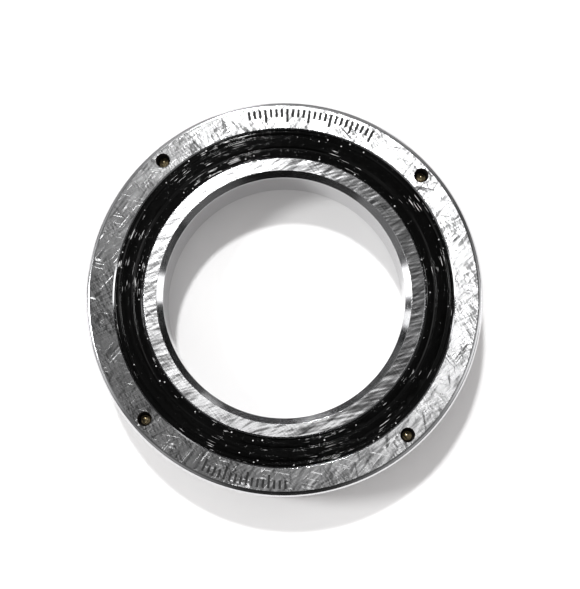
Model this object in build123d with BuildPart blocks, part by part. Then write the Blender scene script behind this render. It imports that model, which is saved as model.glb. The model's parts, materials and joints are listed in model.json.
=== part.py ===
"""Sealed crossed-roller bearing, 25 mm bore, 41 mm outside diameter, 8 mm wide.

Frame: origin at the bearing's centre, +Z along its axis, millimetres.

The outer ring is split at z = 0, and brass rivets hold its two halves together. One row of short
cylindrical rollers runs between the rings in a square race that stands on one corner. Each roller's axis is
crossed at 90 degrees to its neighbours', and a resin spacer keeps each pair apart. A rubber seal on each
side is held in the outer ring, and its lip runs close to the inner ring.
"""

import os
from math import cos, radians, sin, sqrt

from build123d import *

os.makedirs("parts", exist_ok=True)

# Boundary dimensions
BORE_R = 12.5
OUTER_R = 20.5
HALF_WIDTH = 4.0
BORE_CHAMFER = 0.65
OUTER_CORNER_R = 0.55  # rounded corner of the outside diameter
EDGE_BREAK = 0.15  # fine chamfer beside each seal

# Rollers and their race
PITCH_R = 16.0  # circle through the roller centres
ROLLER_COUNT = 24
ROLLER_R = 1.5
ROLLER_LENGTH = 2.9
ROLLER_EDGE = 0.2
RACE_GAP = 0.04  # between a roller's side and the race
RELIEF_HALF_WIDTH = 0.2  # undercut in the corner of each V
RELIEF_DEPTH = 0.07  # below the V's sharp corner
LAND_GAP = 1.0  # between the lands of the two rings
LEDGE_Z = 2.6  # height of the shelf between race and seal

# Spacers
SPACER_HALF_SIDE = 1.35  # half the side of the square section
SPACER_REACH = 1.0  # half the length along the pitch circle
SPACER_CORNER_R = 0.3
SPACER_GAP = 0.06  # between a spacer and its rollers

# Seals
SEAL_MOUTH_R = 17.5  # opening in the outer ring's face
SEAL_GROOVE_R = 17.9
SEAL_GROOVE_TOP_Z = 3.3
INNER_RIM_R = 14.6  # inner ring where the lip runs
LIP_GAP = 0.04
SEAL_FIT = 0.02  # between the seal and its groove
SEAL_BACK_Z = 3.05  # underside of the web
SEAL_TOP_Z = 3.75
SEAL_LIP_TOP_Z = 3.68
SEAL_VALLEY_Z = 3.61  # floor of the two shallow rings in the seal's face
SEAL_VALLEY_RADII = (17.0, 15.6)
SEAL_VALLEY_HALF_WIDTH = 0.15
BEAD_HEIGHT = 0.65
BEAD_WIDTH = 0.7
LIP_BEVEL = 0.1  # at the lip's lower edge, along the bearing's axis
LIP_BEVEL_WIDTH = 0.4

# Lubrication groove round the outside, with oil holes on the parting plane
OIL_GROOVE_HALF_WIDTH = 1.0
OIL_GROOVE_R = 20.0
OIL_HOLE_R = 0.4
OIL_HOLE_COUNT = 4

# Rivets
RIVET_COUNT = 4
RIVET_PITCH_R = 19.0
RIVET_ANGLE = 41.5  # of the first rivet, degrees from +X
RIVET_HOLE_R = 0.5
RIVET_GAP = 0.01
RIVET_SEAT_Z = 2.4  # floor of the counterbore
RIVET_RECESS_R = 0.72
RIVET_HEAD_R = 0.62
RIVET_HEAD_EDGE = 0.12  # height of the head's straight side
RIVET_HEAD_HEIGHT = 0.5

# Worked out from the above
race_corner = (ROLLER_R + RACE_GAP) * sqrt(2)  # from the pitch circle to a corner of the square race
inner_apex_r = PITCH_R - race_corner
outer_apex_r = PITCH_R + race_corner
inner_land_r = PITCH_R - LAND_GAP / 2
outer_land_r = PITCH_R + LAND_GAP / 2
race_edge_z = race_corner - LAND_GAP / 2
roller_pitch = 360 / ROLLER_COUNT


def on_circle(radius, angle, z=0.0):
    """The point at this radius, angle in degrees and height."""
    return Vector(radius * cos(radians(angle)), radius * sin(radians(angle)), z)


def roller_plane(index):
    """The plane at a roller's centre, with the roller's axis as its normal.

    Even rollers lean outwards by 45 degrees from the bearing's axis, and odd ones inwards.
    """
    angle = index * roller_pitch
    lean = 1 if index % 2 == 0 else -1
    return Plane(origin=on_circle(PITCH_R, angle), z_dir=on_circle(lean, angle, 1))


def save(builder, name):
    """Label a finished piece and write it as its own STEP file."""
    builder.part.label = name
    export_step(builder.part, f"parts/{name}.step")


# Outer ring: the upper half is turned, its corners are finished and its holes are drilled
with BuildPart() as outer_ring_upper:
    with BuildSketch(Plane.XZ):
        with BuildLine():
            Polyline(
                (outer_apex_r + RELIEF_DEPTH, 0),
                (OIL_GROOVE_R, 0),
                (OIL_GROOVE_R, OIL_GROOVE_HALF_WIDTH),
                (OUTER_R, OIL_GROOVE_HALF_WIDTH),
                (OUTER_R, HALF_WIDTH),
                (SEAL_MOUTH_R, HALF_WIDTH),
                (SEAL_MOUTH_R, SEAL_GROOVE_TOP_Z),
                (SEAL_GROOVE_R, SEAL_GROOVE_TOP_Z),
                (SEAL_GROOVE_R, LEDGE_Z),
                (outer_land_r, LEDGE_Z),
                (outer_land_r, race_edge_z),
                (outer_apex_r - RELIEF_HALF_WIDTH, RELIEF_HALF_WIDTH),
                (outer_apex_r + RELIEF_DEPTH, RELIEF_HALF_WIDTH),
                close=True,
            )
        make_face()
    revolve(axis=Axis.Z)
    fillet(outer_ring_upper.faces().sort_by(Axis.Z)[-1].outer_wire().edges(), OUTER_CORNER_R)
    chamfer(outer_ring_upper.faces().sort_by(Axis.Z)[-1].inner_wires().edges(), EDGE_BREAK)
    with Locations(Plane.XY.offset(HALF_WIDTH)):
        with PolarLocations(RIVET_PITCH_R, RIVET_COUNT, start_angle=RIVET_ANGLE):
            CounterBoreHole(
                radius=RIVET_HOLE_R,
                counter_bore_radius=RIVET_RECESS_R,
                counter_bore_depth=HALF_WIDTH - RIVET_SEAT_Z,
                depth=HALF_WIDTH,
            )
    with PolarLocations(0, OIL_HOLE_COUNT, start_angle=RIVET_ANGLE - 180 / OIL_HOLE_COUNT):
        Cylinder(
            radius=OIL_HOLE_R,
            height=OUTER_R,
            rotation=(0, 90, 0),
            align=(Align.CENTER, Align.CENTER, Align.MIN),
            mode=Mode.SUBTRACT,
        )
save(outer_ring_upper, "outer_ring_upper")

with BuildPart() as outer_ring_lower:
    mirror(outer_ring_upper.part, about=Plane.XY)
save(outer_ring_lower, "outer_ring_lower")

# Inner ring: one piece, with the V race between its lands and a lower rim under each seal's lip
with BuildPart() as inner_ring:
    upper_half = [
        (BORE_R, HALF_WIDTH),
        (INNER_RIM_R, HALF_WIDTH),
        (INNER_RIM_R, LEDGE_Z),
        (inner_land_r, LEDGE_Z),
        (inner_land_r, race_edge_z),
        (inner_apex_r + RELIEF_HALF_WIDTH, RELIEF_HALF_WIDTH),
        (inner_apex_r - RELIEF_DEPTH, RELIEF_HALF_WIDTH),
    ]
    lower_half = [(r, -z) for r, z in reversed(upper_half)]
    with BuildSketch(Plane.XZ):
        with BuildLine():
            Polyline(*upper_half, *lower_half, close=True)
        make_face()
    revolve(axis=Axis.Z)
    end_faces = inner_ring.faces().filter_by(Axis.Z).group_by(Axis.Z)
    face_edges = (end_faces[0] + end_faces[-1]).edges().group_by(SortBy.RADIUS)
    chamfer(face_edges[0], BORE_CHAMFER)
    chamfer(face_edges[-1], EDGE_BREAK)
save(inner_ring, "inner_ring")

# Seals: a web between a bead that snaps into the outer ring and a lip beside the inner ring
lip_r = INNER_RIM_R + LIP_GAP
bead_r = SEAL_GROOVE_R - SEAL_FIT
bead_bottom_z = LEDGE_Z + SEAL_FIT
rim_r = SEAL_MOUTH_R - SEAL_FIT
outer_valley_r, inner_valley_r = SEAL_VALLEY_RADII
with BuildPart() as seal_upper:
    with BuildSketch(Plane.XZ):
        with BuildLine():
            Polyline(
                (bead_r, bead_bottom_z),
                (bead_r, bead_bottom_z + BEAD_HEIGHT),
                (rim_r, bead_bottom_z + BEAD_HEIGHT),
                (rim_r, SEAL_TOP_Z),
                (outer_valley_r + SEAL_VALLEY_HALF_WIDTH, SEAL_TOP_Z),
                (outer_valley_r, SEAL_VALLEY_Z),
                (outer_valley_r - SEAL_VALLEY_HALF_WIDTH, SEAL_TOP_Z),
                (inner_valley_r + SEAL_VALLEY_HALF_WIDTH, SEAL_TOP_Z),
                (inner_valley_r, SEAL_VALLEY_Z),
                (inner_valley_r - SEAL_VALLEY_HALF_WIDTH, SEAL_LIP_TOP_Z),
                (lip_r + SEAL_VALLEY_HALF_WIDTH, SEAL_LIP_TOP_Z),
                (lip_r, SEAL_VALLEY_Z),
                (lip_r, SEAL_BACK_Z + LIP_BEVEL),
                (lip_r + LIP_BEVEL_WIDTH, SEAL_BACK_Z),
                (bead_r - BEAD_WIDTH, SEAL_BACK_Z),
                (bead_r - BEAD_WIDTH, bead_bottom_z),
                close=True,
            )
        make_face()
    revolve(axis=Axis.Z)
save(seal_upper, "seal_upper")

with BuildPart() as seal_lower:
    mirror(seal_upper.part, about=Plane.XY)
save(seal_lower, "seal_lower")

# Rivets: a shank through both halves, with a domed head at each end, sunk below the ring's face
shank_r = RIVET_HOLE_R - RIVET_GAP
dome_foot_z = RIVET_SEAT_Z + RIVET_HEAD_EDGE
dome_top_z = RIVET_SEAT_Z + RIVET_HEAD_HEIGHT
dome_height = dome_top_z - dome_foot_z
dome_curve_r = (RIVET_HEAD_R**2 + dome_height**2) / (2 * dome_height)
for index in range(RIVET_COUNT):
    rivet_centre = on_circle(RIVET_PITCH_R, RIVET_ANGLE + index * 360 / RIVET_COUNT)
    with BuildPart() as rivet:
        with BuildSketch(Plane(origin=rivet_centre, x_dir=(1, 0, 0), z_dir=(0, -1, 0))):
            with BuildLine():
                for side in (1, -1):
                    Polyline(
                        (shank_r, 0),
                        (shank_r, side * RIVET_SEAT_Z),
                        (RIVET_HEAD_R, side * RIVET_SEAT_Z),
                        (RIVET_HEAD_R, side * dome_foot_z),
                    )
                    RadiusArc(
                        (RIVET_HEAD_R, side * dome_foot_z),
                        (0, side * dome_top_z),
                        -side * dome_curve_r,
                    )
                Line((0, dome_top_z), (0, -dome_top_z))
            make_face()
        revolve(axis=Axis(rivet_centre, (0, 0, 1)))
    save(rivet, f"rivet_{index + 1}")

# Rollers: short cylinders with broken edges
for index in range(ROLLER_COUNT):
    with BuildPart(roller_plane(index)) as roller:
        Cylinder(radius=ROLLER_R, height=ROLLER_LENGTH)
        chamfer(roller.edges().filter_by(GeomType.CIRCLE), ROLLER_EDGE)
    save(roller, f"roller_{index + 1:02d}")

# Spacers: a square prism that stands on one corner, hollowed on both ends by the rollers beside it
for index in range(ROLLER_COUNT):
    spacer_angle = (index + 0.5) * roller_pitch
    along_circle = on_circle(1, spacer_angle + 90)
    spacer_plane = Plane(origin=on_circle(PITCH_R, spacer_angle), x_dir=(0, 0, 1), z_dir=along_circle)
    with BuildPart() as spacer:
        with BuildSketch(spacer_plane) as section:
            Rectangle(2 * SPACER_HALF_SIDE, 2 * SPACER_HALF_SIDE, rotation=45)
            fillet(section.vertices(), SPACER_CORNER_R)
        extrude(amount=SPACER_REACH, both=True)
        with Locations(roller_plane(index), roller_plane(index + 1)):
            Cylinder(radius=ROLLER_R + SPACER_GAP, height=2 * ROLLER_LENGTH, mode=Mode.SUBTRACT)
    save(spacer, f"spacer_{index + 1:02d}")
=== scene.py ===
"""Looks for a sealed crossed-roller bearing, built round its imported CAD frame.

The rings, seals and rivets that show are rebuilt as finer meshes of the same size, with rounded edges.
The rollers and spacers stay as CAD nodes with better materials. Lengths are in millimetres until a mesh
is made. The main sizes and places come from the frame, and the sizes inside the rings are the CAD's.
"""

import json
import math

import bmesh
import bpy
from mathutils import Matrix, Vector, noise


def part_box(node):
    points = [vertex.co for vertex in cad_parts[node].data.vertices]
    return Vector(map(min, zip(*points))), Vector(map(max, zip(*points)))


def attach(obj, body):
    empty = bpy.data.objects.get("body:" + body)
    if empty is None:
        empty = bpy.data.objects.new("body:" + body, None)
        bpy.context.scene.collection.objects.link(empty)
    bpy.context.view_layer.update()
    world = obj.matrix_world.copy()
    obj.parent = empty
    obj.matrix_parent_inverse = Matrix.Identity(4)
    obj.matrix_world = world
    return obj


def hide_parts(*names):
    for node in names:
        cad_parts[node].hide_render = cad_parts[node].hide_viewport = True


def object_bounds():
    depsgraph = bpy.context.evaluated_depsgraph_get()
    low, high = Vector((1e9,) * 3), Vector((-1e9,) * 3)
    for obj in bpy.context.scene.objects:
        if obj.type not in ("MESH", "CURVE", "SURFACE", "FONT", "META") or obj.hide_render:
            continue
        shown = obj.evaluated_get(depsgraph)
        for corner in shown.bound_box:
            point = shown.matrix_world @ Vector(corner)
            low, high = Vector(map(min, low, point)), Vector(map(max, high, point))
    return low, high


MM = 0.001  # in metres
SEGMENTS = 256  # round each ring
SEAL_SEGMENTS = 720  # fine enough for the seal's uneven face
EDGE = 0.04  # radius of an edge that was only deburred
ARC_STEPS = 4  # faces across a small rounded edge
CORNER_STEPS = 10  # faces across the rounded outer corner
CRISP = math.radians(35)  # edges that turn by more aren't smoothed
FLOOR_GAP = 0.01  # keeps the floor out of the plane of the faces that stand on it

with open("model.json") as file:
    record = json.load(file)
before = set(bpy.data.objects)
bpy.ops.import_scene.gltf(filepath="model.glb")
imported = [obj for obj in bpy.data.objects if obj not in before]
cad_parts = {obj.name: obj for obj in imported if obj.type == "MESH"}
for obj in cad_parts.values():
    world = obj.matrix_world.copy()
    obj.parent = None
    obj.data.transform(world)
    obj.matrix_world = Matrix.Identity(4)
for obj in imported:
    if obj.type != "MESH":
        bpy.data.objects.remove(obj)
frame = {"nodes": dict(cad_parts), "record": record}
cad_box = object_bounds()
mounts = {mount["name"]: mount for mount in frame["record"]["mounts"]}


def cosine(degrees):
    return math.cos(math.radians(degrees))


def sine(degrees):
    return math.sin(math.radians(degrees))


def compass(degrees):
    """The heading at an angle from +X towards +Y."""
    return cosine(degrees), sine(degrees), 0


def box_mm(node):
    """A CAD node's lowest and highest corners, in millimetres."""
    low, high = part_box(node)
    return low / MM, high / MM


# Sizes that the frame gives
outer_r = mounts["housing_seat"]["dims"]["r_mm"]
bore_r = mounts["shaft_bore"]["dims"]["r_mm"]
half_width = box_mm("outer_ring_upper")[1].z
outer_corner = half_width - mounts["housing_seat"]["dims"]["length_mm"] / 2
bore_chamfer = half_width - mounts["shaft_bore"]["dims"]["length_mm"] / 2
inner_land_r = box_mm("inner_ring")[1].x
roller_low, roller_high = box_mm("roller_01")
pitch_r = (roller_low.x + roller_high.x) / 2
seal_low, seal_high = box_mm("seal_upper")
rivet_names = sorted(name for name in frame["nodes"] if name.startswith("rivet_"))

# Sizes inside the rings, as in the CAD
race_corner = 2.178  # from the pitch circle to a corner of the square race
land_gap = 2 * (pitch_r - inner_land_r)
outer_land_r = inner_land_r + land_gap
race_edge_z = race_corner - land_gap / 2
relief_half = 0.2  # half the width of the small groove in the race's corner
relief_depth = 0.07  # how far that groove goes past the corner
ledge_z = 2.6
seal_groove_r = 17.9
seal_groove_z = 3.3
seal_mouth_r = 17.5
inner_rim_r = 14.6
edge_break = 0.15
oil_groove_z = 1.0
oil_groove_r = outer_r - 0.5
oil_hole_r = 0.4
oil_hole_length = 3.2
rivet_recess_r = 0.72
rivet_hole_r = 0.5
rivet_shank_r = 0.49
rivet_seat_z = 2.4
rivet_rim = 0.12  # straight side of a rivet's head, below its dome


# ---------------------------------------------------------------- mesh helpers


def rounded(corners):
    """An outline of (r, z) points, from corners (r, z, rounding radius), each rounded by a true arc."""
    outline = []
    for index, (r, z, radius) in enumerate(corners):
        corner = Vector((r, z))
        if radius <= 0:
            outline.append(corner)
            continue
        before = (Vector(corners[index - 1][:2]) - corner).normalized()
        after = (Vector(corners[(index + 1) % len(corners)][:2]) - corner).normalized()
        half_angle = before.angle(after) / 2
        reach = radius / math.tan(half_angle)
        centre = corner + (before + after).normalized() * radius / math.sin(half_angle)
        start = corner + before * reach - centre
        end = corner + after * reach - centre
        steps = CORNER_STEPS if radius > 0.3 else ARC_STEPS
        for step in range(steps + 1):
            outline.append(centre + start.slerp(end, step / steps).normalized() * radius)
    return outline


def lathe(name, outline, segments=SEGMENTS, lift=None):
    """A closed ring turned about Z from an (r, z) outline in mm. lift(angle, r, z) adds to z."""
    mesh = bmesh.new()
    rings = []
    for index in range(segments):
        angle = 2 * math.pi * index / segments
        ring = []
        for r, z in outline:
            rise = lift(angle, r, z) if lift else 0.0
            ring.append(mesh.verts.new(Vector((r * math.cos(angle), r * math.sin(angle), z + rise)) * MM))
        rings.append(ring)
    for index, ring in enumerate(rings):
        following = rings[(index + 1) % segments]
        for k in range(len(outline)):
            after = (k + 1) % len(outline)
            mesh.faces.new((ring[k], following[k], following[after], ring[after]))
    return finished(name, mesh)


def finished(name, mesh):
    """A smooth-shaded object from a bmesh, with its faces turned outwards."""
    bmesh.ops.recalc_face_normals(mesh, faces=mesh.faces)
    data = bpy.data.meshes.new(name)
    mesh.to_mesh(data)
    mesh.free()
    data.shade_smooth()
    piece = bpy.data.objects.new(name, data)
    bpy.context.scene.collection.objects.link(piece)
    return piece


def spindle(name, outline, centre, segments=48, wobble=None):
    """A turned solid about a vertical line through centre, from an outline that starts and ends on it."""
    mesh = bmesh.new()
    first = mesh.verts.new((centre + Vector((0, 0, outline[0][1]))) * MM)
    last = mesh.verts.new((centre + Vector((0, 0, outline[-1][1]))) * MM)
    rows = []
    for r, z in outline[1:-1]:
        row = []
        for index in range(segments):
            angle = 2 * math.pi * index / segments
            place = Vector((r * math.cos(angle), r * math.sin(angle), z))
            if wobble:
                place += wobble(place)
            row.append(mesh.verts.new((centre + place) * MM))
        rows.append(row)
    for index in range(segments):
        after = (index + 1) % segments
        mesh.faces.new((first, rows[0][index], rows[0][after]))
        mesh.faces.new((last, rows[-1][after], rows[-1][index]))
        for row, upper in zip(rows, rows[1:]):
            mesh.faces.new((row[index], upper[index], upper[after], row[after]))
    return finished(name, mesh)


def joined(name, pieces):
    """One object of several, which are removed."""
    mesh = bmesh.new()
    for piece in pieces:
        mesh.from_mesh(piece.data)
        bpy.data.objects.remove(piece)
    return finished(name, mesh)


def cut(piece, cutter):
    """Cuts cutter out of piece, keeping the cutter's material on the new faces, and removes the cutter."""
    modifier = piece.modifiers.new("cut", "BOOLEAN")
    modifier.object = cutter
    modifier.solver = "EXACT"
    modifier.material_mode = "TRANSFER"
    bpy.context.view_layer.update()
    graph = bpy.context.evaluated_depsgraph_get()
    data = bpy.data.meshes.new_from_object(piece.evaluated_get(graph))
    piece.modifiers.clear()
    piece.data = data
    bpy.data.objects.remove(cutter)


def even_shading(piece):
    """Broad faces keep their own normal right up to their rounded edges, and other corners stay crisp."""
    mesh = piece.data
    mesh.set_sharp_from_angle(angle=CRISP)
    normals = [corner.vector.copy() for corner in mesh.corner_normals]
    around = [[] for _ in mesh.vertices]
    for polygon in mesh.polygons:
        for vertex in polygon.vertices:
            around[vertex].append((polygon.normal, polygon.area))
    for polygon in mesh.polygons:
        for loop, vertex in zip(polygon.loop_indices, polygon.vertices):
            smooth = [(normal, area) for normal, area in around[vertex]
                      if normal.dot(polygon.normal) > math.cos(CRISP)]
            broad = max((area for _, area in smooth), default=0) / 2
            broadest = [normal for normal, area in smooth if area > broad]
            if broadest:
                normals[loop] = sum(broadest, Vector()).normalized()
    mesh.normals_split_custom_set(normals)


# ---------------------------------------------------------------- material helpers


class Nodes:
    """Short ways to add nodes to a shader's tree."""

    def __init__(self, tree):
        self.nodes = tree.nodes
        self.links = tree.links

    def add(self, kind, inputs=None, **settings):
        """A new node. inputs maps a socket's name or number to a value or to another node's output."""
        node = self.nodes.new(kind)
        for key, value in settings.items():
            setattr(node, key, value)
        for key, value in (inputs or {}).items():
            if isinstance(value, bpy.types.NodeSocket):
                self.links.new(value, node.inputs[key])
            else:
                node.inputs[key].default_value = value
        return node

    def math(self, operation, a, b=0.0):
        return self.add("ShaderNodeMath", {0: a, 1: b}, operation=operation).outputs[0]

    def product(self, a, b):
        return self.math("MULTIPLY", a, b)

    def total(self, values):
        result = values[0]
        for value in values[1:]:
            result = self.math("ADD", result, value)
        return result

    def weighted(self, pairs):
        """The total of (value, weight) pairs."""
        return self.total([self.product(value, weight) for value, weight in pairs])

    def span(self, value, low, high, to_low=0.0, to_high=1.0):
        """value from low..high to to_low..to_high, held at both ends."""
        inputs = {"Value": value, "From Min": low, "From Max": high, "To Min": to_low, "To Max": to_high}
        return self.add("ShaderNodeMapRange", inputs, clamp=True).outputs[0]

    def vector(self, operation, a, b=None):
        """The result of a vector operation, which is a number for DOT_PRODUCT and LENGTH."""
        inputs = {0: a} if b is None else {0: a, 1: b}
        outputs = self.add("ShaderNodeVectorMath", inputs, operation=operation).outputs
        return outputs["Value" if operation in ("DOT_PRODUCT", "LENGTH") else "Vector"]

    def scaled(self, vector, factor):
        inputs = {0: vector, "Scale": factor}
        return self.add("ShaderNodeVectorMath", inputs, operation="SCALE").outputs[0]

    def split(self, vector):
        """A vector's parts, by the names X, Y and Z."""
        return self.add("ShaderNodeSeparateXYZ", {0: vector}).outputs

    def combined(self, x, y, z=0.0):
        return self.add("ShaderNodeCombineXYZ", {"X": x, "Y": y, "Z": z}).outputs[0]


class Shader(Nodes):
    """A material, with textures measured in millimetres."""

    def __init__(self, name):
        self.material = bpy.data.materials.new(name)
        self.material.use_nodes = True
        super().__init__(self.material.node_tree)
        self.surface = self.nodes["Principled BSDF"]
        # The same on every piece, because each object's origin is the frame's
        self.place = self.scaled(self.add("ShaderNodeTexCoord").outputs["Object"], 1 / MM)

    def noise(self, place, detail=2.0, scale=1.0, dimensions="3D"):
        inputs = {"Vector": place, "Scale": scale, "Detail": detail}
        return self.add("ShaderNodeTexNoise", inputs, noise_dimensions=dimensions).outputs[0]

    def cells(self, place, scale=1.0):
        """Scattered cells: each one's random Color, and the Distance from its middle."""
        return self.add("ShaderNodeTexVoronoi", {"Vector": place, "Scale": scale}).outputs

    def blotches(self, size, detail=2.0, seed=0.0):
        """Even noise whose features are size millimetres across."""
        return self.noise(self.vector("ADD", self.place, (seed, seed, seed)), detail, 1 / size)

    def grain(self, angle, size, detail=2.0, seed=0.0):
        """Noise drawn out along an angle in the XY plane. size is its length and width in millimetres."""
        inputs = {"Vector": self.place, "Location": (seed, seed, 0),
                  "Rotation": (0, 0, math.radians(angle)), "Scale": (*size, 1.0)}
        drawn_out = self.add("ShaderNodeMapping", inputs, vector_type="TEXTURE").outputs[0]
        return self.noise(drawn_out, detail, dimensions="2D")

    def about_zero(self, texture):
        """A texture of 0..1 shifted to vary about 0."""
        return self.math("SUBTRACT", texture, 0.5)

    def scratch(self, angle, seed):
        """1 on a few long fine scratches along an angle, 0 off them.

        They follow the lines where a drawn-out noise passes its middle value, and blotches break them up.
        """
        size, fineness = (40.0, 0.9), 0.02
        from_middle = self.math("ABSOLUTE", self.about_zero(self.grain(angle, size, 1.0, seed)))
        line = self.span(from_middle, 0.0, fineness, 1.0, 0.0)
        return self.product(line, self.span(self.blotches(1.6, seed=seed), 0.5, 0.62))

    def flat(self):
        """The place with its height left out."""
        return self.vector("MULTIPLY", self.place, (1, 1, 0))

    def radius(self):
        """Distance from the Z axis."""
        return self.vector("LENGTH", self.flat())

    def heading(self):
        """A unit vector away from the Z axis."""
        return self.vector("NORMALIZE", self.flat())

    def round_axis(self, per_radian, per_mm, more=0.0):
        """A place for a texture drawn out round the Z axis, with no seam. more adds to its third part."""
        wide = self.split(self.scaled(self.heading(), per_radian))
        outwards = self.math("ADD", self.product(self.radius(), per_mm), more)
        return self.combined(wide["X"], wide["Y"], outwards)

    def bump(self, height, unit_mm):
        """A normal from a height that is counted in units of unit_mm millimetres."""
        inputs = {"Height": height, "Strength": 1.0, "Distance": unit_mm * MM}
        return self.add("ShaderNodeBump", inputs).outputs[0]

    def set(self, **values):
        """Values or links for the surface's sockets, with _ for a space in a name."""
        for key, value in values.items():
            socket = self.surface.inputs[key.replace("_", " ")]
            if isinstance(value, bpy.types.NodeSocket):
                self.links.new(value, socket)
            else:
                socket.default_value = value


# ---------------------------------------------------------------- materials


def ground_face(name, lay, roughness, anisotropy, turn, shades, crossing, depth, scratches=(), marks=()):
    """Surface-ground steel: short fine strokes near one direction, lay, in degrees from +X.

    Light spreads across the strokes and stays narrow along them, so the face flashes where they stand
    square to the light. Each stroke has its own slight turn, and turn scales them all. Worn patches are
    crossed by finer strokes in the directions crossing, with depth for their part in the relief. scratches
    are the directions of a few long ones. shades are the darkest and lightest base colours, and marks are
    scales of dark ticks, each (middle angle, number of ticks).
    """
    # Lengths and widths in millimetres
    stroke_size, smudge_size, crossing_size = (3.5, 0.22), (2.2, 0.35), (3.0, 0.16)
    # How a scratch turns the light, in radians, and its part in the relief
    scratch_turn, scratch_depth = 0.7, 0.8
    most = 1.5  # either side of 0, where the shades and the roughness reach their ends
    s = Shader(name)
    stroke = s.about_zero(s.grain(lay + 5, stroke_size, 0.5))
    second = s.about_zero(s.grain(lay + 25, smudge_size, 0.5, seed=51.0))
    patch = s.about_zero(s.blotches(2.5, 2.0, seed=7.0))
    smudge = s.span(s.grain(lay + 25, smudge_size, 0.5, seed=77.0), 0.25, 0.45, -1.2, 0)
    worn = s.span(s.blotches(4.0, 1.0, seed=31.0), 0.42, 0.6, 0.15, 1.0)
    hatch = s.total([s.span(s.grain(angle, crossing_size, 0.5, seed=60.0 + index), 0.2, 0.8, -1, 1)
                     for index, angle in enumerate(crossing)])
    hatch = s.product(hatch, worn)
    stray = [s.scratch(angle, seed) for seed, angle in enumerate(scratches, 3)]

    turns = [(stroke, 7 * turn), (second, 7 * turn), (patch, 1.5 * turn)]
    turns += [(line, (-1) ** index * scratch_turn) for index, line in enumerate(stray)]
    across = s.math("ADD", s.weighted(turns), math.radians(lay + 90))
    direction = s.combined(s.math("COSINE", across), s.math("SINE", across))
    in_world = s.add("ShaderNodeVectorTransform", {"Vector": direction}, vector_type="VECTOR",
                     convert_from="OBJECT", convert_to="WORLD").outputs[0]

    texture = s.total([hatch, stroke, second, patch, smudge])
    tone = s.span(texture, -most, most, *shades)
    rough = s.span(texture, -most, most, roughness * 1.15, roughness * 0.85)
    metal = 1.0
    if marks:
        mark = ticks(s, marks)
        metal = s.math("SUBTRACT", 1.0, mark)
        tone = s.product(tone, s.span(mark, 0, 1, 1.0, 0.03))
        rough = s.math("MAXIMUM", rough, s.product(mark, 0.6))
    height = s.weighted([(stroke, 0.4), (hatch, depth)] + [(line, -scratch_depth) for line in stray])
    s.set(Base_Color=s.combined(tone, tone, s.product(tone, 1.01)), Metallic=metal, Roughness=rough,
          Anisotropic=anisotropy, Tangent=in_world, Normal=s.bump(height, 0.0012))
    return s.material


def ticks(s, scales):
    """1 on a plain scale of graduation ticks, 0 off it. It stands in for the maker's marking."""
    # The ticks point inwards from the radius foot, and one in each group is long
    foot, width, pitch_deg = 19.7, 0.27, 1.7
    long_tick, short_tick, group = 1.4, 0.9, 4
    edge, raggedness = 0.03, 0.06
    pitch = math.radians(pitch_deg)
    radius = s.radius()
    ragged = s.product(s.about_zero(s.blotches(0.12, seed=13.0)), raggedness)
    found = []
    for middle, count in scales:
        start = math.radians(middle - pitch_deg * (count - 1) / 2)
        inputs = {"Vector": s.flat(), "Angle": -start}
        parts = s.split(s.add("ShaderNodeVectorRotate", inputs, rotation_type="Z_AXIS").outputs[0])
        step = s.math("DIVIDE", s.math("ARCTAN2", parts["Y"], parts["X"]), pitch)
        number = s.math("ROUND", step)
        off_middle = s.math("ABSOLUTE", s.math("SUBTRACT", step, number))
        away = s.math("ADD", s.product(s.product(off_middle, pitch), radius), ragged)
        on_tick = s.span(away, (width - edge) / 2, (width + edge) / 2, 1, 0)
        in_count = s.product(s.math("GREATER_THAN", number, -0.5), s.math("LESS_THAN", number, count - 0.5))
        is_long = s.math("LESS_THAN", s.math("FLOORED_MODULO", s.math("ADD", number, 0.1), group), 1)
        top = s.span(is_long, 0, 1, foot - short_tick, foot - long_tick)
        past_top = s.math("SUBTRACT", s.math("ADD", radius, ragged), top)
        in_height = s.product(s.span(past_top, 0, edge), s.math("LESS_THAN", radius, foot))
        found.append(s.product(s.product(on_tick, in_count), in_height))
    on_top_face = s.math("GREATER_THAN", s.split(s.place)["Z"], 0.0)
    return s.product(s.total(found), on_top_face)


def turned_steel():
    """Steel ground round its axis, on the bore, the outside, the chamfers and the grooves."""
    roughness = 0.13
    s = Shader("ring_turned")
    line = s.noise(s.round_axis(1.2, 14.0, s.product(s.split(s.place)["Z"], 9.0)), 3.0)
    stain = s.blotches(1.5, 3.0, seed=2.0)
    rough = s.span(s.total([line, stain]), 0.8, 1.25, roughness * 0.8, roughness * 1.35)
    s.set(Base_Color=(0.60, 0.60, 0.61, 1), Metallic=1.0, Roughness=rough, Normal=s.bump(line, 0.0012))
    return s.material


def shaded_oily_steel():
    """Steel inside a hole, painted dark for the hole's shade as well as its oil."""
    s = Shader("recess_shade_and_oil")
    # Near-black base colour: painted shade inside the hole, together with oil
    shade = s.scaled((0.03, 0.026, 0.024), s.span(s.blotches(0.12, 3.0), 0.3, 0.7, 0.5, 1.6))
    s.set(Base_Color=shade, Metallic=0.4, Roughness=0.4, Normal=s.bump(s.blotches(0.06), 0.004))
    return s.material


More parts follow.
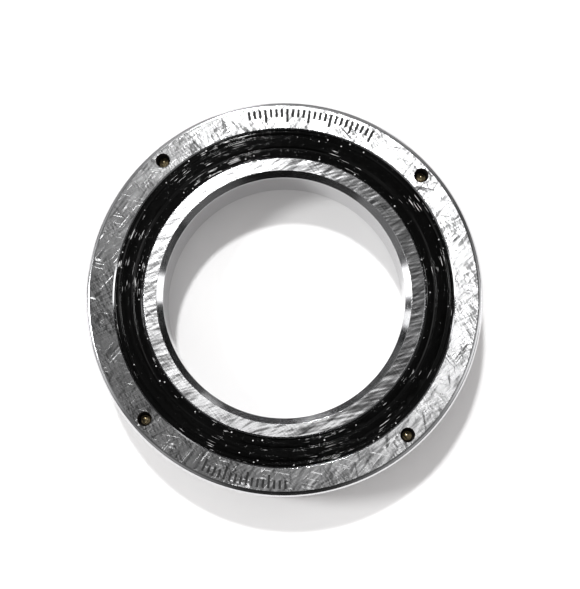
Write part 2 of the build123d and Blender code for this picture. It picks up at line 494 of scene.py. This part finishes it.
def seal_rubber():
    """Moulded black rubber under a film of grease, with drops of it, pale specks that are painted glints and
    partly dust, and pale dashes that are painted highlights.
    """
    black, pale = (0.0006, 0.0012), 0.6
    ridge_pitch, ridge_bend = 0.7, 6.0
    near, far = 0.4, 0.9  # the drops, and the specks of painted glint and dust, along each edge start to thin out at near and are gone by far
    # Where the painted highlight dashes gather, at the angles where the lamps glint on the grease: middle
    # angle and half width in degrees
    painted_highlight_arcs = ((114, 20), (172, 9), (242, 7), (286, 9))
    s = Shader("seal_rubber")
    radius = s.radius()
    near_edge = s.math("ADD", s.span(radius, seal_mouth_r - far, seal_mouth_r - near),
                       s.span(radius, inner_rim_r + near, inner_rim_r + far, 1, 0))

    film = s.noise(s.round_axis(13.0, 2.5))
    wave = s.math("SINE", s.weighted([(radius, 2 * math.pi / ridge_pitch), (film, ridge_bend)]))
    ridge = s.product(wave, s.span(s.blotches(1.3, seed=4.0), 0.48, 0.58))
    reach = s.span(s.cells(s.round_axis(20.0, 2.4))["Distance"], 0.0, 0.45)
    dome = s.math("SUBTRACT", 1.0, s.product(reach, reach))
    drop = s.product(dome, s.math("ADD", near_edge, 0.1))
    # Heights in hundredths of a millimetre
    height = s.weighted([(ridge, 2.6), (drop, 2.0), (s.blotches(0.3, seed=21.0), 2.0)])

    # Pale specks on some of the cells along the edges: painted glints, partly dust as well
    speck_cells = s.cells(s.place, 2.2)
    chosen = s.math("LESS_THAN", s.split(speck_cells["Color"])["X"], s.product(near_edge, 0.28))
    glint_and_dust_speck = s.product(s.span(speck_cells["Distance"], 0.1, 0.2, 1, 0), chosen)

    # Pale dashes on the strongest streaks, which are painted highlights, with more of them where the
    # highlights gather
    highlight_gather = 0.0
    for middle, half in painted_highlight_arcs:
        aside = s.vector("DOT_PRODUCT", s.heading(), compass(middle))
        highlight_gather = s.math("MAXIMUM", highlight_gather, s.span(aside, cosine(half), cosine(half / 2)))
    highlight_gather = s.product(highlight_gather, s.span(s.blotches(0.9, seed=23.0), 0.45, 0.6))
    highlight_gather = s.product(highlight_gather, s.span(near_edge, 0, 1, 0.35, 1.0))
    spread = s.math("MAXIMUM", s.span(s.blotches(2.4, seed=17.0), 0.57, 0.62), highlight_gather)
    streaks = s.math("ADD", s.noise(s.round_axis(7.0, 11.0, 3.0)), s.product(highlight_gather, 0.08))
    highlight_dash = s.product(s.span(streaks, 0.65, 0.69), spread)

    # The rubber's black, with the pale painted highlights of the specks and dashes added on
    tone = s.math("ADD", s.span(film, 0.35, 0.75, *black), s.product(s.math("MAXIMUM", glint_and_dust_speck, highlight_dash), pale))
    s.set(Base_Color=s.combined(tone, tone, tone), Roughness=s.span(film, 0.35, 0.65, 0.11, 0.15),
          Specular_IOR_Level=0.04, Coat_Weight=0.45, Coat_Roughness=0.04, Normal=s.bump(height, 0.01))
    return s.material


def rivet_brass():
    """Peened brass, bright on top of the head and darkened round its foot with painted shade of the recess as
    well as old oil.
    """
    bright, dark = (0.70, 0.57, 0.34, 1), (0.035, 0.025, 0.018, 1)
    shade_and_oil_below_top, shade_and_oil_wander = 0.12, 0.16
    s = Shader("rivet_brass")
    height = s.math("ABSOLUTE", s.split(s.place)["Z"])
    head_top = box_mm(rivet_names[0])[1].z
    # Painted shade and old oil: the head darkens from a little under its top down into the recess
    below = s.math("SUBTRACT", head_top - shade_and_oil_below_top, height)
    shade_and_oil_depth = s.math("ADD", below, s.product(s.blotches(0.3, seed=8.0), shade_and_oil_wander))
    shade_and_oil = s.span(shade_and_oil_depth, 0.04, 0.16)
    # A mix node's colours go in by sockets 6 and 7 and come out by number 2
    colour = s.add("ShaderNodeMix", {"Factor": shade_and_oil, 6: bright, 7: dark}, data_type="RGBA").outputs[2]
    s.set(Base_Color=colour, Metallic=s.span(shade_and_oil, 0, 1, 1.0, 0.5), Roughness=s.span(shade_and_oil, 0, 1, 0.2, 0.5),
          Normal=s.bump(s.blotches(0.22, seed=6.0), 0.03))
    return s.material


def roller_steel():
    """Superfinished steel: bright, with a trace of oil."""
    s = Shader("roller_steel")
    rough = s.span(s.blotches(0.5, 3.0), 0.35, 0.65, 0.07, 0.14)
    s.set(Base_Color=(0.66, 0.66, 0.68, 1), Metallic=1.0, Roughness=rough,
          Normal=s.bump(s.blotches(0.1), 0.0005))
    return s.material


def spacer_resin():
    """Natural moulded resin, slightly waxy."""
    s = Shader("spacer_resin")
    colour = s.scaled((0.74, 0.69, 0.55), s.span(s.blotches(0.8), 0.3, 0.7, 0.9, 1.08))
    s.set(Base_Color=colour, Roughness=0.42, Subsurface_Weight=0.1, Subsurface_Scale=0.3 * MM,
          Normal=s.bump(s.blotches(0.07), 0.003))
    return s.material


face_outer = ground_face("ring_face_outer", lay=30, roughness=0.278, anisotropy=0.87, turn=0.045,
                         shades=(0.14, 0.84), crossing=(-60, -75, -42, 24), depth=0.3,
                         scratches=(98, -12, 131, 50), marks=((81.3, 24), (257.7, 16)))
face_inner = ground_face("ring_face_inner", lay=8, roughness=0.195, anisotropy=0.94, turn=0.05,
                         shades=(0.17, 0.8), crossing=(17, 34, -50), depth=0.32)
turned = turned_steel()
recess = shaded_oily_steel()


# ---------------------------------------------------------------- the rings


def paint_ring(piece, materials):
    """Gives a ring its materials: the first on its flat end faces, the second elsewhere."""
    for material in materials:
        piece.data.materials.append(material)
    end, level, close = half_width * MM, 0.9999, 1e-6
    for polygon in piece.data.polygons:
        on_end = abs(polygon.normal.z) > level and abs(abs(polygon.center.z) - end) < close
        polygon.material_index = 0 if on_end else 1


def mirrored(outline, side):
    return [(r, side * z, radius) for r, z, radius in outline]


def rivet_centre(name):
    low, high = box_mm(name)
    return Vector(((low.x + high.x) / 2, (low.y + high.y) / 2, 0))


def hole_cutter(side):
    """Cuts the four stepped rivet holes from one half of the outer ring, with a broken edge at the mouth."""
    past_parting, past_face = 0.2, 0.1  # how far the cutter stands out at its two ends
    foot, top = -past_parting, half_width + past_face
    profile = [(0, foot), (rivet_hole_r, foot), (rivet_hole_r, rivet_seat_z), (rivet_recess_r, rivet_seat_z),
               (rivet_recess_r, half_width - EDGE), (rivet_recess_r + EDGE + past_face, top), (0, top)]
    outline = [(r, side * z) for r, z in profile]
    holes = [spindle("hole", outline, rivet_centre(name), segments=40) for name in rivet_names]
    cutter = joined("rivet_holes", holes)
    cutter.data.materials.append(recess)
    return cutter


def oil_hole_cutter():
    """Cuts the four radial oil holes, midway between the rivets, on the parting plane."""
    first = rivet_centre(rivet_names[0])
    start = math.atan2(first.y, first.x) - math.pi / 4
    middle_r = oil_groove_r - 1.0
    mesh = bmesh.new()
    for index in range(4):
        turn = Matrix.Rotation(start + index * math.pi / 2, 4, "Z")
        middle = Matrix.Translation((middle_r * MM, 0, 0))
        lie = Matrix.Rotation(math.pi / 2, 4, "Y")
        bmesh.ops.create_cone(mesh, cap_ends=True, segments=32, radius1=oil_hole_r * MM,
                              radius2=oil_hole_r * MM, depth=oil_hole_length * MM, matrix=turn @ middle @ lie)
    cutter = finished("oil_holes", mesh)
    cutter.data.materials.append(recess)
    return cutter


def outer_half(name, side):
    """One half of the outer ring: race flank, seal groove, rounded corner, rivet holes and oil holes."""
    race_r = pitch_r + race_corner
    corners = [
        (race_r + relief_depth, 0, 0), (oil_groove_r, 0, 0.02), (oil_groove_r, oil_groove_z, 0.1),
        (outer_r, oil_groove_z, 0.08), (outer_r, half_width, outer_corner),
        (seal_mouth_r + edge_break, half_width, EDGE), (seal_mouth_r, half_width - edge_break, EDGE),
        (seal_mouth_r, seal_groove_z, EDGE), (seal_groove_r, seal_groove_z, EDGE),
        (seal_groove_r, ledge_z, EDGE), (outer_land_r, ledge_z, EDGE), (outer_land_r, race_edge_z, EDGE),
        (race_r - relief_half, relief_half, 0.02), (race_r + relief_depth, relief_half, 0.02),
    ]
    piece = lathe(name + "_finish", rounded(mirrored(corners, side)))
    paint_ring(piece, (face_outer, turned))
    cut(piece, hole_cutter(side))
    cut(piece, oil_hole_cutter())
    even_shading(piece)
    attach(piece, "outer_ring")
    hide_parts(name)


def inner_ring():
    """The one-piece inner ring: bore with chamfers, lip rims, lands and the V race."""
    race_r = pitch_r - race_corner
    upper = [
        (bore_r, half_width - bore_chamfer, 0.1), (bore_r + bore_chamfer, half_width, 0.06),
        (inner_rim_r - edge_break, half_width, EDGE), (inner_rim_r, half_width - edge_break, EDGE),
        (inner_rim_r, ledge_z, 0.1), (inner_land_r, ledge_z, EDGE), (inner_land_r, race_edge_z, EDGE),
        (race_r + relief_half, relief_half, 0.02), (race_r - relief_depth, relief_half, 0.02),
    ]
    corners = upper + [(r, -z, radius) for r, z, radius in reversed(upper)]
    piece = lathe("inner_ring_finish", rounded(corners))
    paint_ring(piece, (face_inner, turned))
    even_shading(piece)
    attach(piece, "inner_ring")
    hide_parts("inner_ring")


# ---------------------------------------------------------------- seals and rivets


def seal(name, side, material):
    """A moulded seal: bead in the outer ring, web with two pressed valleys, and the lip's soft edge."""
    bead_r, bead_z, bead_height = seal_high.x, seal_low.z, 0.65
    web_r = bead_r - 0.7
    rim_r = seal_mouth_r - 0.02
    lip_r = inner_rim_r + 0.04
    top, back = seal_high.z, 3.05
    outer_valley_r, inner_valley_r = 17.0, 15.6
    half_valley, valley = 0.15, 0.14
    lip_top = top - valley / 2
    wave_height, pimple_height = 0.012, 0.008
    corners = [
        (bead_r, bead_z, 0.1), (bead_r, bead_z + bead_height, 0.1), (rim_r, bead_z + bead_height, 0.03),
        (rim_r, top, 0.12), (outer_valley_r + half_valley, top, 0.08), (outer_valley_r, top - valley, 0.06),
        (outer_valley_r - half_valley, top, 0.08), (inner_valley_r + half_valley, top, 0.08),
        (inner_valley_r, top - valley, 0.06), (inner_valley_r - half_valley, lip_top, 0.08),
        (lip_r + half_valley, lip_top, 0.08), (lip_r, top - valley, 0.05), (lip_r, back + 0.1, 0.05),
        (lip_r + 0.4, back, 0.1), (web_r, back, 0.05), (web_r, bead_z, 0.05),
    ]

    def uneven(angle, r, z):
        """Moulding waves and smeared grease on the face that shows."""
        if abs(z) < back + 0.3 or r > rim_r - 0.01 or r < lip_r + 0.01:
            return 0.0
        slow = noise.noise(Vector((3 * math.cos(angle), 3 * math.sin(angle), r * 1.5)))
        quick = noise.noise(Vector((26 * math.cos(angle), 26 * math.sin(angle), r * 4 + side)))
        return side * (wave_height * slow + pimple_height * quick - 0.01)

    piece = lathe(name + "_finish", rounded(mirrored(corners, side)), SEAL_SEGMENTS, uneven)
    piece.data.materials.append(material)
    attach(piece, "outer_ring")
    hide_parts(name)


def rivet(name, material):
    """A brass rivet whose domed heads were peened by hand, so each is dented its own way."""
    low, high = box_mm(name)
    head_r, top = (high.x - low.x) / 2, high.z
    foot = rivet_seat_z + rivet_rim
    steps, dent = 8, 0.06
    dome = [(head_r * cosine(90 * step / steps), foot + (top - foot) * sine(90 * step / steps))
            for step in range(steps + 1)]
    half = [(rivet_shank_r, 0.0), (rivet_shank_r, rivet_seat_z), (head_r, rivet_seat_z)] + dome
    outline = [(r, -z) for r, z in reversed(half)] + half[1:]
    outline[0], outline[-1] = (0, outline[0][1]), (0, outline[-1][1])
    centre = rivet_centre(name)

    def dents(place):
        if abs(place.z) < foot:
            return Vector((0, 0, 0))
        return Vector((0, 0, -math.copysign(dent * (0.5 + noise.noise((place + centre) * 2.5)), place.z)))

    piece = spindle(name + "_finish", outline, centre, wobble=dents)
    piece.data.materials.append(material)
    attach(piece, "outer_ring")
    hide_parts(name)


def repaint_nodes(prefix, material):
    """Gives CAD nodes that stay their better material."""
    for name, node in frame["nodes"].items():
        if name.startswith(prefix):
            node.data.materials.clear()
            node.data.materials.append(material)


# ---------------------------------------------------------------- floor, light and camera


def floor():
    """A white table top, at the underside of the bearing."""
    half_side = 1.5  # in metres
    height = cad_box[0][2] - FLOOR_GAP * MM
    mesh = bmesh.new()
    bmesh.ops.create_grid(mesh, x_segments=1, y_segments=1, size=half_side,
                          matrix=Matrix.Translation((0, 0, height)))
    plane = finished("floor", mesh)
    s = Shader("floor_white")
    tone = s.span(s.blotches(30.0), 0.3, 0.7, 0.86, 0.9)
    s.set(Base_Color=s.combined(tone, tone, tone), Roughness=0.7)
    plane.data.materials.append(s.material)


def lamp(name, towards, irradiance, width_deg, glint):
    """A distant round lamp in the direction towards, as bright as irradiance on a surface that faces it.

    Only the share glint of it reflects in shiny surfaces, as if the rest came through a diffuser.
    """
    for part, share in (("glint", glint), ("soft", 1 - glint)):
        light = bpy.data.lights.new(f"{name}_{part}", "SUN")
        light.energy = irradiance * share
        light.angle = math.radians(width_deg)
        thing = bpy.data.objects.new(f"{name}_{part}", light)
        thing.rotation_mode = "QUATERNION"
        thing.rotation_quaternion = Vector(towards).to_track_quat("Z", "Y")
        thing.visible_glossy = part == "glint"
        bpy.context.scene.collection.objects.link(thing)


# The walls as the steel reflects them: greys by heading in degrees
WALLS = ((-180, 0.6), (-165, 0.9), (-150, 0.16), (-135, 0.5), (-105, 0.03), (-75, 0.03), (-60, 0.2),
         (-45, 0.5), (-30, 0.3), (-15, 1.3), (0, 1.4), (15, 0.5), (30, 0.1), (60, 0.4), (90, 0.4),
         (105, 0.9), (120, 0.6), (135, 0.3), (165, 0.7), (180, 0.6))
# How much of them shows, by the sine of the elevation
RISE = ((0.15, 0.015), (0.35, 1.0), (0.7, 1.0), (0.82, 0.4), (0.93, 0.4), (0.97, 0.25))
# Bright panes along the horizon: middle azimuth, half width, top elevation (all in degrees), radiance
PANES = ((180, 8, 8, 3.0), (163, 4, 8, 2.0), (3, 7, 12, 2.5), (103, 7, 6, 4.0), (60, 5, 8, 1.5),
         (210, 20, 12, 0.2), (310, 20, 12, 0.12), (135, 18, 12, 0.2))


def grey_stops(n, value, stops):
    """The grey at value, which runs through stops of (value from 0 to 1, grey)."""
    node = n.add("ShaderNodeValToRGB", {0: value})
    elements = node.color_ramp.elements
    while len(elements) < len(stops):
        elements.new(0.5)
    for stop, (place, grey) in zip(elements, stops):
        stop.position = place
        stop.color = (grey, grey, grey, 1)
    return node.outputs[0]


def reflected_room(n):
    """The colour of the room in a direction: walls over a dark horizon with a few bright panes."""
    soft = 0.8  # where a pane reaches its full brightness, as a share of its size
    direction = n.add("ShaderNodeTexCoord").outputs["Generated"]
    parts = n.split(direction)
    height = parts["Z"]
    heading = n.vector("NORMALIZE", n.vector("MULTIPLY", direction, (1, 1, 0)))
    turn = n.span(n.math("ARCTAN2", parts["Y"], parts["X"]), -math.pi, math.pi)
    walls = grey_stops(n, turn, [(azimuth / 360 + 0.5, grey) for azimuth, grey in WALLS])
    colour = n.vector("MULTIPLY", walls, grey_stops(n, height, RISE))
    for azimuth, half, top, radiance in PANES:
        aside = n.vector("DOT_PRODUCT", heading, compass(azimuth))
        across = n.span(aside, cosine(half), cosine(half * soft), 0, radiance)
        under = n.span(height, sine(top), sine(top * soft))
        colour = n.vector("ADD", colour, n.product(across, under))
    return colour


def room():
    """A white room as the camera sees it and as it fills the shadows.

    In the steel it looks as a photographer's dim corner does: grey overhead, walls that are lighter on some
    sides than on others, and a dark horizon with a few bright windows.
    """
    white, fill = (1, 1, 1, 1), (1.0, 0.975, 0.97, 1)
    fill_strength = 0.64
    world = bpy.data.worlds.new("room")
    bpy.context.scene.world = world
    world.use_nodes = True
    n = Nodes(world.node_tree)
    n.nodes.clear()

    def background(colour, strength=1.0):
        return n.add("ShaderNodeBackground", {"Color": colour, "Strength": strength}).outputs[0]

    def choose(test, no, yes):
        return n.add("ShaderNodeMixShader", {0: test, 1: no, 2: yes}).outputs[0]

    path = n.add("ShaderNodeLightPath").outputs
    lit = choose(path["Is Glossy Ray"], background(fill, fill_strength), background(reflected_room(n)))
    seen = choose(path["Is Camera Ray"], lit, background(white))
    n.add("ShaderNodeOutputWorld", {"Surface": seen})


def camera():
    """Nearly overhead, some 165 mm above the bearing."""
    data = bpy.data.cameras.new("camera")
    data.lens = 98.8
    data.clip_start = 0.01
    thing = bpy.data.objects.new("camera", data)
    place = Vector((2.52, -20.16, 165.0 + half_width)) * MM
    aim = Vector((0.617, 0.173, half_width)) * MM
    back = (place - aim).normalized()
    right = Vector((0, 1, 0)).cross(back).normalized()
    up = back.cross(right)
    thing.matrix_world = Matrix.Translation(place) @ Matrix((right, up, back)).transposed().to_4x4()
    bpy.context.scene.collection.objects.link(thing)
    bpy.context.scene.camera = thing


camera()
outer_half("outer_ring_upper", 1)
outer_half("outer_ring_lower", -1)
inner_ring()
rubber = seal_rubber()
seal("seal_upper", 1, rubber)
seal("seal_lower", -1, rubber)
brass = rivet_brass()
for rivet_name in rivet_names:
    rivet(rivet_name, brass)
repaint_nodes("roller_", roller_steel())
repaint_nodes("spacer_", spacer_resin())

floor()
lamp("ceiling_lamp", (-0.1, 0.449, 0.889), irradiance=2.3, width_deg=4.0, glint=0.42)
lamp("left_lamp", (-0.66, 0.06, 0.75), irradiance=1.5, width_deg=12.0, glint=0.6)
room()
bpy.context.scene.view_settings.view_transform = "Standard"
